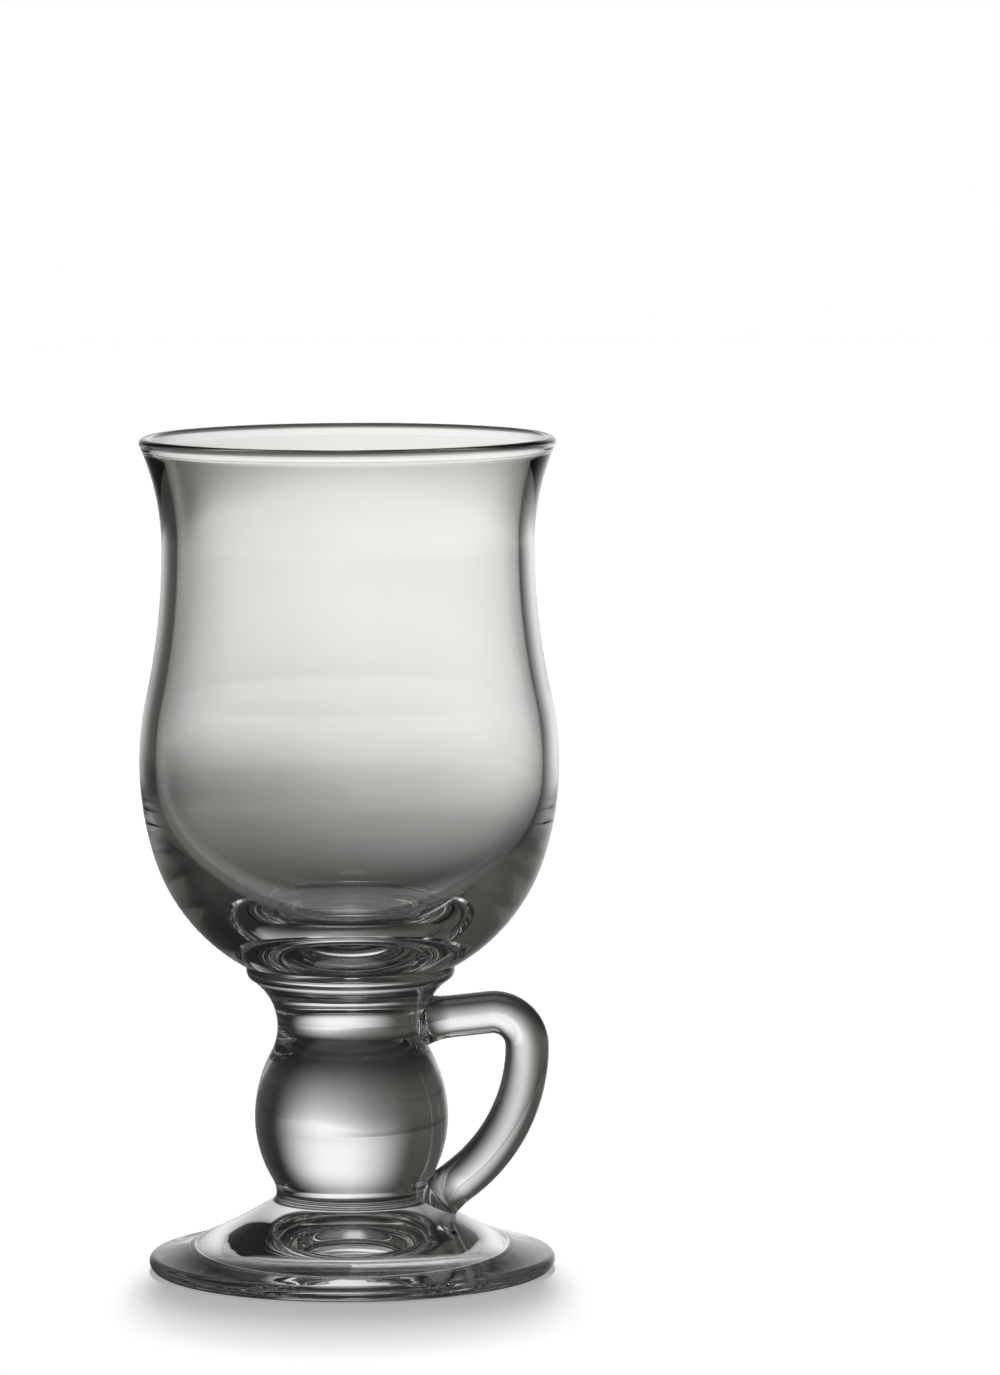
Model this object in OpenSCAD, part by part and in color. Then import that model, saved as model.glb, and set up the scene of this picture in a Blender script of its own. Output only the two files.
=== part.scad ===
// Irish coffee glass mug: five gathers of clear glass, fused face to face.
// Millimetres, +Z up. The origin is the middle of the ring that the mug stands on.

/* [Bowl outside] */
// Height of the bowl from its flat base to the top of the lip
bowl_h = 94.6; // [91:0.2:100]
// Radius at the lip's outer edge
lip_r = 37.2; // [36.2:0.1:38.6]
// Radius of the drawn-in neck under the lip
neck_r = 33.3; // [32:0.1:34.4]
// Height of the neck above the bowl's base
neck_h = 75; // [71:0.2:78]
// Radius of the belly, the widest line of the bowl
belly_r = 37.55; // [36.4:0.05:39]
// Height of the belly above the bowl's base
belly_h = 36.2; // [33:0.2:39]
// Upright curve radius of the belly, above and below its widest line
belly_curve_r = 56; // [48:0.5:64]
// Turn of the wall below the belly before the tighter base curve starts
shoulder_angle = 17.7; // [12:0.1:22]
// Radius of the bowl's flat base, where the crease shows
base_r = 19.5; // [19:0.1:21]

/* [Bowl inside] */
// Wall at the lip
lip_wall = 2.1; // [1.6:0.1:2.6]
// Wall at the neck
neck_wall = 2.8; // [2.2:0.1:3.4]
// Wall at the belly
belly_wall = 2.9; // [2.4:0.1:3.6]
// Solid glass between the base and the lowest point inside
base_wall = 4.6; // [3.6:0.2:6]
// Curve radius of the floor inside
floor_curve_r = 90; // [75:1:120]
// Curve radius of the corner between the inner wall and the floor
corner_curve_r = 30; // [26:0.5:31]

/* [Collar] */
// Height of the collar between bowl and stem
collar_h = 5.4; // [4.8:0.1:6.4]
// Radius of the upright band under the bowl
collar_r = 18.7; // [18:0.1:19]
// Height of that band
collar_band_h = 1.1; // [0.6:0.1:1.6]
// Rounding of the band's lower edge
collar_round_r = 2; // [1.4:0.1:2.6]

/* [Stem] */
// Height of the stem from the foot's seam to the collar's seam
stem_h = 36; // [34.5:0.1:37.5]
// Radius of the waist above the knop
waist_r = 13.2; // [12.4:0.1:14]
// Height of the waist above the foot's seam
waist_h = 30.1; // [29:0.1:31]
// Upright curve radius of the waist on the knop's side
waist_curve_r = 10; // [7:0.5:13]
// Radius of the knop
knop_r = 17.35; // [16.6:0.05:18.2]
// Height of the knop's widest line above the foot's seam
knop_h = 13.7; // [12.6:0.1:14.8]
// Upright curve radius of the groove on the knop's side
groove_curve_r = 5; // [3.5:0.25:6.5]

/* [Foot] */
// Height of the foot from the table to its seam in the groove
foot_h = 14; // [13:0.1:15.5]
// Radius of the groove, and so of the seam between stem and foot
groove_r = 13.6; // [13:0.1:14.2]
// Radius of the foot
foot_r = 36.5; // [35:0.1:38]
// Height of the foot's widest line, and its rounding down to the table
foot_edge_h = 1.8; // [1.4:0.1:2.2]
// Rounding of the edge above that line
foot_edge_round_r = 1.2; // [0.8:0.1:1.6]
// Rounding under the groove
foot_fillet_r = 1.8; // [1.2:0.1:2.4]
// Angle by which the foot's top is steeper next to the groove than a straight slope
foot_crown_bend = 7; // [4:0.5:10]
// Angle by which the foot's top is flatter at its edge than a straight slope
foot_edge_bend = 13; // [8:0.5:16]
// Width of the flat ring that the foot stands on, around the hollow underneath
ring_w = 8; // [6:0.25:10]
// Depth of the domed hollow
hollow_depth = 5.5; // [4.5:0.25:7]

/* [Handle] */
// Diameter of the straight upper rod
upper_rod_d = 7.6; // [7:0.1:8.2]
// Diameter of the thumb bend
bend_d = 7.8; // [7.2:0.1:8.4]
// Diameter of the long grip arc
grip_d = 8; // [7.4:0.1:8.6]
// Diameter of the straight lower rod that runs into the groove
lower_rod_d = 7.8; // [7.2:0.1:8.4]
// Distance from the mug's axis to the handle's middle line where it is farthest out
handle_reach = 31.6; // [30.5:0.1:33]
// Height above the foot's seam at which the handle runs straight down
handle_turn_h = 26.3; // [25.4:0.1:27]
// Curve radius of the thumb bend's middle line
bend_r = 6.1; // [5.4:0.1:6.8]
// Curve radius of the grip arc's middle line
grip_r = 30.3; // [29:0.1:31.6]
// Rise of the upper rod towards the thumb bend
rise_angle = 6; // [3:0.5:8]
// Height above the foot's seam at which the grip arc ends
grip_end_h = 2.4; // [1.8:0.1:3]
// Depth of the upper rod's end below the waist's surface, before the stem takes its place
upper_sink = 3.2; // [2.8:0.1:4]
// Length over which the upper rod widens towards its end
upper_flare_l = 8; // [6:0.1:10]
// Growth of the upper rod's radius at its end
upper_flare = 3; // [2:0.1:3.6]
// Depth of the lower rod's end below the groove's surface, before stem and foot take its place
lower_sink = 1; // [0.75:0.05:1.5]
// Length over which the lower rod widens towards its end
lower_flare_l = 8; // [6.5:0.1:8.5]
// Growth of the lower rod's radius at its end
lower_flare = 2.4; // [1.6:0.1:2.8]
// Length by which each bar of the handle runs into the thicker one next to it
bar_overlap = 0.5; // [0.3:0.05:0.6]

/* [Hidden] */
glass = [0.86, 0.89, 0.87, 0.5];
$fn = 96;
// Steps in which each arc or curve of a profile is drawn
curve_steps = 10;
// Points of a profile that are nearer than this are one point
same_point = 0.001;

// Seams between the pieces, from the table up
stem_z = foot_h;
collar_z = stem_z + stem_h;
bowl_z = collar_z + collar_h;
lip_z = bowl_z + bowl_h;

// Points of the profiles, as [radius, height]
groove = [groove_r, stem_z];
knop = [knop_r, stem_z + knop_h];
waist = [waist_r, stem_z + waist_h];
collar_edge = [collar_r, bowl_z - collar_band_h];
crease = [base_r, bowl_z];
belly = [belly_r, bowl_z + belly_h];
neck = [neck_r, bowl_z + neck_h];
lip = [lip_r - lip_wall / 2, lip_z - lip_wall / 2];
inner_belly = belly - [belly_wall, 0];
inner_neck = neck - [neck_wall, 0];

// Unit vector at an angle from the radial direction
function direction(a) = [cos(a), sin(a)];

// Angle of a vector from the radial direction
function angle_of(v) = atan2(v.y, v.x);

// Radius of an arc that is upright at one of two points and passes the other
function upright_r(d) = (d * d) / (2 * abs(d.x));

// Point of an arc of radius r that leaves p upright, towards d, after a turn
function upright_point(p, d, r, turn) = p + r * [sign(d.x) * (1 - cos(turn)), sign(d.y) * sin(turn)];

// Points of an arc about a middle
function arc(middle, r, from, to) =
    [for (i = [0 : curve_steps]) middle + r * direction(from + (to - from) * i / curve_steps)];

// Points of an arc that leaves p upright and ends in q
function upright_arc(p, q) =
    let (d = q - p, r = upright_r(d), turn = asin(abs(d.y) / r))
    [for (i = [0 : curve_steps]) upright_point(p, d, r, turn * i / curve_steps)];

// Points of two smoothly joined arcs that are upright at p and at q; r is the radius of the first
function s_curve(p, q, r) =
    let (d = q - p, sum = upright_r(d), turn = asin(abs(d.y) / sum))
    concat(
        [for (i = [0 : curve_steps]) upright_point(p, d, r, turn * i / curve_steps)],
        [for (i = [curve_steps : -1 : 0]) upright_point(q, -d, sum - r, turn * i / curve_steps)]);

// Points of a smooth curve from p to q that falls outwards at a given angle at either end
function falling_curve(p, q, p_angle, q_angle) =
    let (
        d = q - p,
        run = (d.x * sin(q_angle) + d.y * cos(q_angle)) / sin(q_angle - p_angle),
        bend = p + run * direction(-p_angle)
    )
    [for (i = [0 : curve_steps])
        let (t = i / curve_steps)
        (1 - t) * (1 - t) * p + 2 * t * (1 - t) * bend + t * t * q];

function reversed(points) = [for (i = [len(points) - 1 : -1 : 0]) points[i]];

// One list of points from several, without repeated points
function joined(lists) =
    let (all = [for (points = lists) each points])
    [for (i = [0 : len(all) - 1])
        if (i == 0 || norm(all[i] - all[max(i - 1, 0)]) > same_point) all[i]];

// Bowl outside: the belly's arc turns into the base curve at the shoulder, which ends in the crease
belly_middle = belly - [belly_curve_r, 0];
shoulder = belly_middle + belly_curve_r * direction(-shoulder_angle);
base_drop = shoulder - crease;
crease_angle = 2 * atan2(base_drop.x, base_drop.y) - shoulder_angle;
base_curve_r = base_drop.x / (cos(shoulder_angle) - cos(crease_angle));
base_middle = shoulder - base_curve_r * direction(-shoulder_angle);
// Lean of the wall at the lip, from the arc between mid-wall at the neck and the lip's middle
lip_rise = lip - (neck + inner_neck) / 2;
lip_lean = 2 * atan2(lip_rise.x, lip_rise.y);

bowl_outside = joined([
    arc(base_middle, base_curve_r, -crease_angle, -shoulder_angle),
    arc(belly_middle, belly_curve_r, -shoulder_angle, 0),
    s_curve(belly, neck, belly_curve_r),
    upright_arc(neck, lip + lip_wall / 2 * direction(-lip_lean)),
    arc(lip, lip_wall / 2, -lip_lean, 180 - lip_lean)]);

// Bowl inside: a corner arc meets the wall's arc and the floor's arc smoothly, so its middle is where
// both arcs, drawn in by the corner's radius, cross; at the widest corner no floor is left beside it
wall_curve_r = belly_curve_r - belly_wall;
belly_rise = belly_h - base_wall;
widest_corner_r = (wall_curve_r * wall_curve_r - belly_middle.x * belly_middle.x - belly_rise * belly_rise)
    / (2 * (wall_curve_r - belly_rise));
corner_r = min(corner_curve_r, widest_corner_r);
wall_r_in = wall_curve_r - corner_r;
floor_r_in = floor_curve_r - corner_r;
floor_middle = [0, bowl_z + base_wall + floor_curve_r];
to_floor = floor_middle - belly_middle;
along = (wall_r_in * wall_r_in - floor_r_in * floor_r_in + to_floor * to_floor) / (2 * norm(to_floor));
across = sqrt(wall_r_in * wall_r_in - along * along);
corner_middle = belly_middle + (along * to_floor + across * [to_floor.y, -to_floor.x]) / norm(to_floor);
wall_end = angle_of(corner_middle - belly_middle);
floor_end = angle_of(corner_middle - floor_middle);

bowl_inside = joined([
    reversed(upright_arc(inner_neck, lip - lip_wall / 2 * direction(-lip_lean))),
    reversed(s_curve(inner_belly, inner_neck, wall_curve_r)),
    arc(belly_middle, wall_curve_r, 0, wall_end),
    arc(corner_middle, corner_r, wall_end, floor_end),
    arc(floor_middle, floor_curve_r, floor_end, -90)]);

// Collar and stem share the waist's upper curve, which the seam between them crosses
waist_side = reversed(s_curve(collar_edge, waist, collar_round_r));
waist_rise = collar_edge - waist;
waist_upper_r = upright_r(waist_rise) - collar_round_r;
seam_turn = asin((collar_z - waist.y) / waist_upper_r);
seam = upright_point(waist, waist_rise, waist_upper_r, seam_turn);

collar_outside = joined([[seam], [for (p = waist_side) if (p.y > collar_z) p], [[collar_r, bowl_z]]]);
stem_outside = joined([
    s_curve(groove, knop, groove_curve_r),
    reversed(s_curve(waist, knop, waist_curve_r)),
    [for (p = waist_side) if (p.y < collar_z) p],
    [seam]]);

// Foot: a fillet under the groove, a falling top, a rounded edge and the resting ring
fillet_middle = groove + [foot_fillet_r, 0];
edge_middle = [foot_r - foot_edge_round_r, foot_edge_h];
// Slope of the straight line that touches both the fillet and the edge's rounding
foot_run = edge_middle - fillet_middle;
foot_slope = -angle_of(foot_run) - asin((foot_fillet_r + foot_edge_round_r) / norm(foot_run));
foot_crown_angle = foot_slope + foot_crown_bend;
foot_edge_angle = foot_slope - foot_edge_bend;
fillet_end = fillet_middle + foot_fillet_r * direction(-90 - foot_crown_angle);
edge_start = edge_middle + foot_edge_round_r * direction(90 - foot_edge_angle);

foot_outside = joined([
    [[0, stem_z]],
    arc(fillet_middle, foot_fillet_r, 180, 270 - foot_crown_angle),
    falling_curve(fillet_end, edge_start, foot_crown_angle, foot_edge_angle),
    arc(edge_middle, foot_edge_round_r, 90 - foot_edge_angle, 0),
    arc([foot_r - foot_edge_h, foot_edge_h], foot_edge_h, 0, -90)]);

// Hollow underneath: a dome that ends in the resting ring
hollow_r = foot_r - foot_edge_h - ring_w;
dome_r = (hollow_r * hollow_r + hollow_depth * hollow_depth) / (2 * hollow_depth);
foot_hollow = arc([0, hollow_depth - dome_r], dome_r, acos(hollow_r / dome_r), 90);

// Handle: its middle line lies in the plane of X and Z
turn_z = stem_z + handle_turn_h;
bend_middle = [handle_reach - bend_r, turn_z];
bend_start = bend_middle + bend_r * direction(90 + rise_angle);
bend_overlap_angle = bar_overlap / bend_r * 180 / PI;
upper_rod_l = (bend_start.x - waist_r + upper_sink) / cos(rise_angle);
grip_middle = [handle_reach - grip_r, turn_z];
grip_angle = asin((handle_turn_h - grip_end_h) / grip_r);
grip_end = grip_middle + grip_r * direction(-grip_angle);
lower_rod_l = (grip_end.x - groove_r + lower_sink) / sin(grip_angle);

// Full turn of a half profile about the mug's axis
module turned(points) {
    rotate_extrude()
        polygon(points);
}

// Straight bar from a point of the middle line, tilted from +Z about Y, that widens towards its end
module rod(start, tilt, r, l, flare_l, flare) {
    translate([start.x, 0, start.y])
        rotate([0, tilt, 0])
            turned(joined([
                [[0, -bar_overlap], [r, -bar_overlap]],
                upright_arc([r, l - flare_l], [r + flare, l]),
                [[0, l]]]));
}

// Bent bar about a middle, between two angles from +X towards +Z
module bent_bar(middle, curve_r, r, from, to) {
    translate([middle.x, 0, middle.y])
        rotate([90, 0, 0])
            rotate(from)
                rotate_extrude(angle = to - from)
                    translate([curve_r, 0])
                        circle(r);
}

module handle_bars() {
    rod(bend_start, -90 - rise_angle, upper_rod_d / 2, upper_rod_l, upper_flare_l, upper_flare);
    bent_bar(bend_middle, bend_r, bend_d / 2, -bend_overlap_angle, 90 + rise_angle);
    bent_bar(grip_middle, grip_r, grip_d / 2, -grip_angle, 0);
    rod(grip_end, 180 + grip_angle, lower_rod_d / 2, lower_rod_l, lower_flare_l, lower_flare);
}

module bowl() {
    color(glass)
        turned(concat([[0, bowl_z]], bowl_outside, bowl_inside));
}

module collar() {
    color(glass)
        turned(concat([[0, collar_z]], collar_outside, [[0, bowl_z]]));
}

module stem() {
    color(glass)
        turned(concat([[0, stem_z]], stem_outside, [[0, collar_z]]));
}

module foot() {
    color(glass)
        turned(concat(foot_outside, foot_hollow));
}

module handle() {
    color(glass)
        difference() {
            handle_bars();
            collar();
            stem();
            turned(concat(foot_outside, [[0, 0]]));
        }
}

bowl();
collar();
stem();
foot();
handle();
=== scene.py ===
"""Irish coffee glass mug: five fused pieces of clear glass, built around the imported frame. Metres, +Z up."""
import math

import bmesh
import bpy
from bpy.props import FloatProperty, FloatVectorProperty, IntProperty, PointerProperty
from mathutils import Matrix, Vector


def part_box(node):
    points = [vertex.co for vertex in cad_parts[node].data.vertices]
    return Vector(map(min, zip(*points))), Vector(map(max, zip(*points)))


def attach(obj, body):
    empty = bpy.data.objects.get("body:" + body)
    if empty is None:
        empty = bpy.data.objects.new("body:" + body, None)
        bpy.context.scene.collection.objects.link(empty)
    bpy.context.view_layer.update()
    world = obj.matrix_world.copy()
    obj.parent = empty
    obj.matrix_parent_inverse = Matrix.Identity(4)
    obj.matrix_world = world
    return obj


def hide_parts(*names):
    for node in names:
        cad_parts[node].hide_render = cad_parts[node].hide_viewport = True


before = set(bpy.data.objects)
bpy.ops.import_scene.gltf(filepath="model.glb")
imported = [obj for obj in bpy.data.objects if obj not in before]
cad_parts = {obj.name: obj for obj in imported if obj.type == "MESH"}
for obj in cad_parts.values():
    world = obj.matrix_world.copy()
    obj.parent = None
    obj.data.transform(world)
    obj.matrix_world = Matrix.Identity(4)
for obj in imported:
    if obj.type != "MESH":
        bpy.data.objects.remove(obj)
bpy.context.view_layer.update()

bl_info = {
    "name": "Irish Coffee Glass Mug",
    "version": (1, 0, 0),
    "blender": (4, 5, 0),
    "location": "3D View > Sidebar > Glass Mug",
    "description": "Turns, draws and fuses the five glass pieces of a footed mug on a studio table",
    "category": "Add Mesh",
}

BODY = "root"
# Seams between the pieces, from the table up
FOOT_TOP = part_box("foot")[1][2]
STEM_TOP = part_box("stem")[1][2]
COLLAR_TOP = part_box("collar")[1][2]
LIP_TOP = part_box("bowl")[1][2]
# Points of a profile that are nearer than this are one point
SAME_POINT = 1e-6


def half_width(node):
    """Largest radius of a turned piece, from its box in the frame."""
    low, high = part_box(node)
    return (high[1] - low[1]) / 2


# Properties

def length(name, description, default):
    return FloatProperty(name=name, description=description, default=default, min=0, precision=5,
                         subtype="DISTANCE", unit="LENGTH")


def angle(name, description, degrees):
    return FloatProperty(name=name, description=description, default=math.radians(degrees),
                         subtype="ANGLE", unit="ROTATION")


def factor(name, description, default, top=1.0):
    return FloatProperty(name=name, description=description, default=default, min=0, max=top,
                         subtype="FACTOR")


def count(name, description, default):
    return IntProperty(name=name, description=description, default=default, min=3)


def colour(name, description, default):
    return FloatVectorProperty(name=name, description=description, default=default, size=3, min=0, max=1,
                               subtype="COLOR")


class BowlSizes(bpy.types.PropertyGroup):
    lip_r: length("Lip radius", "Radius at the lip's outer edge", 0.0372)
    neck_r: length("Neck radius", "Radius of the drawn-in neck under the lip", 0.0333)
    neck_h: length("Neck height", "Height of the neck above the bowl's base", 0.075)
    belly_r: length("Belly radius", "Radius of the widest line of the bowl", half_width("bowl"))
    belly_h: length("Belly height", "Height of the belly above the bowl's base", 0.0362)
    belly_curve_r: length("Belly curve", "Upright curve radius of the belly", 0.056)
    shoulder_angle: angle("Shoulder", "Turn of the wall below the belly before the base curve", 17.7)
    base_r: length("Base radius", "Radius of the bowl's flat base, where the crease shows", 0.0195)
    lip_wall: length("Lip wall", "Wall at the lip's round bead", 0.0021)
    bead_l: length("Bead length", "Length of the lip's fire-polished bead below its middle", 0.0019)
    bead_depth: length("Bead depth", "How much the inside falls back under the bead", 0.00035)
    neck_wall: length("Neck wall", "Wall at the neck", 0.0028)
    belly_wall: length("Belly wall", "Wall at the belly", 0.0029)
    base_wall: length("Base wall", "Solid glass under the lowest point inside", 0.0046)
    floor_curve_r: length("Floor curve", "Curve radius of the floor inside", 0.09)
    corner_curve_r: length("Corner curve", "Curve radius between the inner wall and the floor", 0.03)
    segments: count("Segments", "Faces round the bowl", 224)


class CollarSizes(bpy.types.PropertyGroup):
    collar_r: length("Collar radius", "Radius of the upright band under the bowl", half_width("collar"))
    band_h: length("Band height", "Height of the upright band", 0.0011)
    round_r: length("Band rounding", "Rounding of the band's lower edge", 0.002)


class StemSizes(bpy.types.PropertyGroup):
    waist_r: length("Waist radius", "Radius of the waist above the knop", 0.0132)
    waist_h: length("Waist height", "Height of the waist above the foot's seam", 0.0301)
    waist_curve_r: length("Waist curve", "Upright curve radius of the waist on the knop's side", 0.010)
    knop_r: length("Knop radius", "Radius of the ball-shaped knop", half_width("stem"))
    knop_h: length("Knop height", "Height of the knop's widest line above the foot's seam", 0.0137)
    groove_r: length("Groove radius", "Radius of the groove between knop and foot", 0.0136)
    groove_curve_r: length("Groove curve", "Upright curve radius of the groove on the knop's side", 0.005)
    segments: count("Segments", "Faces round stem, collar and foot", 224)


class FootSizes(bpy.types.PropertyGroup):
    foot_r: length("Foot radius", "Radius of the foot's edge", half_width("foot"))
    edge_h: length("Edge height", "Height of the foot's widest line", 0.0018)
    edge_round_r: length("Edge rounding", "Rounding of the edge above its widest line", 0.0012)
    fillet_r: length("Fillet", "Rounding under the groove", 0.0018)
    crown_bend: angle("Crown bend", "Extra slope of the foot's top next to the groove", 7)
    edge_bend: angle("Edge bend", "Slope that the foot's top loses at its edge", 13)
    ring_w: length("Ring width", "Width of the flat ring that the foot stands on", 0.008)
    hollow_depth: length("Hollow depth", "Depth of the domed hollow underneath", 0.0055)


class HandleSizes(bpy.types.PropertyGroup):
    upper_r: length("Upper rod", "Radius of the straight upper rod", 0.0038)
    bend_bar_r: length("Bend bar", "Radius of the bar in the thumb bend", 0.0039)
    grip_bar_r: length("Grip bar", "Radius of the bar in the grip arc", 0.004)
    lower_r: length("Lower rod", "Radius of the straight lower rod", 0.0039)
    reach: length("Reach", "Distance from the axis to the middle line where it is farthest out", 0.0316)
    turn_h: length("Turn height", "Height above the foot's seam where the handle runs straight down", 0.0263)
    bend_r: length("Thumb bend", "Curve radius of the thumb bend's middle line", 0.0061)
    grip_r: length("Grip arc", "Curve radius of the grip arc's middle line", 0.0303)
    rise_angle: angle("Rise", "Rise of the upper rod towards the thumb bend", 6)
    grip_end_h: length("Grip end", "Height above the foot's seam where the grip arc ends", 0.0024)
    upper_sink: length("Upper sink", "Depth of the upper root below the waist's surface", 0.0032)
    upper_flare: length("Upper flare", "Growth of the upper rod's radius at its root", 0.003)
    lower_sink: length("Lower sink", "Depth of the lower root below the groove's surface", 0.001)
    lower_flare: length("Lower flare", "Growth of the lower rod's radius at its root", 0.0024)
    flare_l: length("Flare length", "Length over which both roots widen", 0.008)
    sides: count("Sides", "Faces round the bar", 96)


class GlassFinish(bpy.types.PropertyGroup):
    tint: colour("Tint", "Colour that one wall of clear glass lets through", (0.984, 0.988, 0.975))
    cord_tint: colour("Cord tint", "Colour in the faint cords that the melt leaves", (0.966, 0.976, 0.958))
    ior: FloatProperty(name="Index", description="Index of refraction", default=1.52, min=1, max=3)
    polish: factor("Polish", "Roughness where the fire polish is least", 0.012)
    wave_height: length("Wave height", "Height of the slow waves that the mould leaves", 0.00004)
    tick_height: length("Tick height", "Height of the fine ticks on the resting ring", 0.00006)
    tick_w: length("Tick width", "Width of the band of ticks at the resting ring's inner edge", 0.0012)
    tick_count: count("Ticks", "Ticks round the resting ring", 240)


class StudioLight(bpy.types.PropertyGroup):
    window_turn: angle("Window turn", "Middle of the white window behind the mug, from +Y towards +X", 6)
    window_rise: angle("Window rise", "Middle of the window above the far edge of the table", 8)
    window_half: angle("Window half", "Half of the angle over which the window is full white", 3)
    window_fade_side: angle("Side fade", "Angle from its middle where the window ends sideways", 37)
    window_fade_up: angle("Upper fade", "Angle from its middle where the window ends upwards", 26)
    strip_rise: angle("Strip rise", "Height of the dim strip over the window", 39)
    strip_tone: factor("Strip tone", "Brightness of that strip", 0.4)
    spot_turn: angle("Spot turn", "Direction of the small light high over the mug, from +Y towards +X", -3)
    spot_rise: angle("Spot rise", "Height of that light", 64)
    spot_tone: factor("Spot tone", "Brightness of that light", 0.7)
    shade_tint: colour("Shade tint", "Colour of the flags and of the table in the shade", (0.95, 1.0, 0.9))
    left_tone: factor("Left flag", "Brightness of the dark flag on the left", 0.07)
    right_tone: factor("Right flag", "Brightness of the dark flag on the right", 0.015)
    top_tone: factor("Top flag", "Brightness of the dark flag overhead", 0.02)
    front_tone: factor("Front flag", "Brightness of the dark flag behind the camera", 0.04)
    # Painted shadow: the table's tone right under the mug, where the glass sees it
    contact_shadow_tone: factor("Contact tone", "Brightness of the table right under the mug", 0.012)
    # Painted light: a pool of light on the far table behind the mug, centred on the table turn
    table_tone: factor("Table tone", "Brightness of the far table behind the mug, without its gloss", 1.0)
    table_turn: angle("Table turn", "Middle of the far table's light, from +Y towards +X", 12)
    table_gloss: factor("Table gloss", "Share of light that the table mirrors, seen from above", 0.075)
    table_polish: factor("Table polish", "Roughness of the table's gloss", 0.03)
    # Painted light right of the mug and painted shade left of it, carried by the table's gloss
    side_light_gain: factor("Side gain", "How much more the table mirrors right of the mug than left of it", 0.9)
    # Painted shadow: a soft dark band across the table left of the window
    shadow_band_share: factor("Band share", "Share of light lost in the table's dark band left of the window", 0.44)
    ring_tone: factor("Ring tone", "Brightness of the table beside and before the mug", 0.4)
    far_tone: factor("Far tone", "Brightness of the table beside and before the mug, farther away", 0.9)
    front_share: factor("Front share", "Share of white that the flag behind the camera lets through", 0.3)
    floor_lift: factor("Floor lift", "Brightness of the floor in full shadow", 0.36)
    sky_share: factor("Sky share", "Brightness that the floor has from the sky", 0.1)
    key_share: factor("Key share", "Brightness that the floor has from the key light", 0.56)
    key_rise: angle("Key rise", "Height of the key light's middle over the table, behind the mug", 78.5)
    key_length: angle("Key length", "Angle from the back end of the narrow key light to its front end", 14)
    key_angle: angle("Key angle", "Angle across the key light, which softens the shadow", 5)


class MugSettings(bpy.types.PropertyGroup):
    bowl: PointerProperty(type=BowlSizes)
    collar: PointerProperty(type=CollarSizes)
    stem: PointerProperty(type=StemSizes)
    foot: PointerProperty(type=FootSizes)
    handle: PointerProperty(type=HandleSizes)
    glass: PointerProperty(type=GlassFinish)
    studio: PointerProperty(type=StudioLight)


# Profiles: points are (radius, height), and a stretch of points may be a fused joint face

# Steps of one arc
CURVE_STEPS = 28


def direction(turn):
    return Vector((math.cos(turn), math.sin(turn)))


def bearing(vector):
    return math.atan2(vector.y, vector.x)


def arc(middle, radius, start, end, steps=CURVE_STEPS):
    return [middle + radius * direction(start + (end - start) * i / steps) for i in range(steps + 1)]


def upright_radius(span):
    """Radius of an arc over a span that is upright at one of its ends."""
    return span.dot(span) / (2 * abs(span.x))


def upright_turn(span):
    """Turn of that arc."""
    return math.asin(abs(span.y) / upright_radius(span))


def upright_point(start, span, radius, turn):
    """Point of an arc that leaves its start upright, towards the span, after a turn."""
    across = math.copysign(radius * (1 - math.cos(turn)), span.x)
    along = math.copysign(radius * math.sin(turn), span.y)
    return start + Vector((across, along))


def even_steps(turn, span):
    """Steps for an arc that runs on into an upright arc over a span, so that both step at one pace."""
    return round(CURVE_STEPS * abs(turn) / upright_turn(span))


def upright_arc(start, end, steps=CURVE_STEPS):
    span = end - start
    radius = upright_radius(span)
    turn = upright_turn(span)
    return [upright_point(start, span, radius, turn * i / steps) for i in range(steps + 1)]


def s_curve(start, end, radius, steps=CURVE_STEPS):
    """Two smoothly joined arcs that are upright at both ends; radius is that of the first."""
    span = end - start
    total = upright_radius(span)
    turns = [upright_turn(span) * i / steps for i in range(steps + 1)]
    first = [upright_point(start, span, radius, t) for t in turns]
    second = [upright_point(end, -span, total - radius, t) for t in reversed(turns)]
    return first + second


def cap_radius(height, half_chord):
    """Radius of an arc with a given height over its chord."""
    return (half_chord ** 2 + height ** 2) / (2 * height)


def falling_curve(start, end, start_angle, end_angle, steps=CURVE_STEPS):
    """Smooth curve that falls outwards at a given angle at either end."""
    span = end - start
    run = (span.x * math.sin(end_angle) + span.y * math.cos(end_angle)) / math.sin(end_angle - start_angle)
    bend = start + run * direction(-start_angle)
    shares = [i / steps for i in range(steps + 1)]
    return [(1 - t) ** 2 * start + 2 * t * (1 - t) * bend + t * t * end for t in shares]


def stitched(*stretches):
    """One profile from stretches of (points, is joint face), with a joint mark for each of its edges."""
    points, joints = [], []
    for stretch, is_joint in stretches:
        for number, point in enumerate(stretch):
            if points and (point - points[-1]).length < SAME_POINT:
                continue
            if points:
                joints.append(is_joint and number > 0)
            points.append(Vector(point))
    return points, joints


def lip_bead(bowl, lip, lean):
    """Inner side of the fire-polished bead at the lip, from its widest line down to the thinner wall."""
    points = []
    for i in range(CURVE_STEPS // 2 + 1):
        share = 2 * i / CURVE_STEPS
        wall = bowl.lip_wall / 2 - bowl.bead_depth * share ** 2 * (3 - 2 * share)
        points.append(lip - share * bowl.bead_l * direction(math.pi / 2 - lean) - wall * direction(-lean))
    return points


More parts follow.
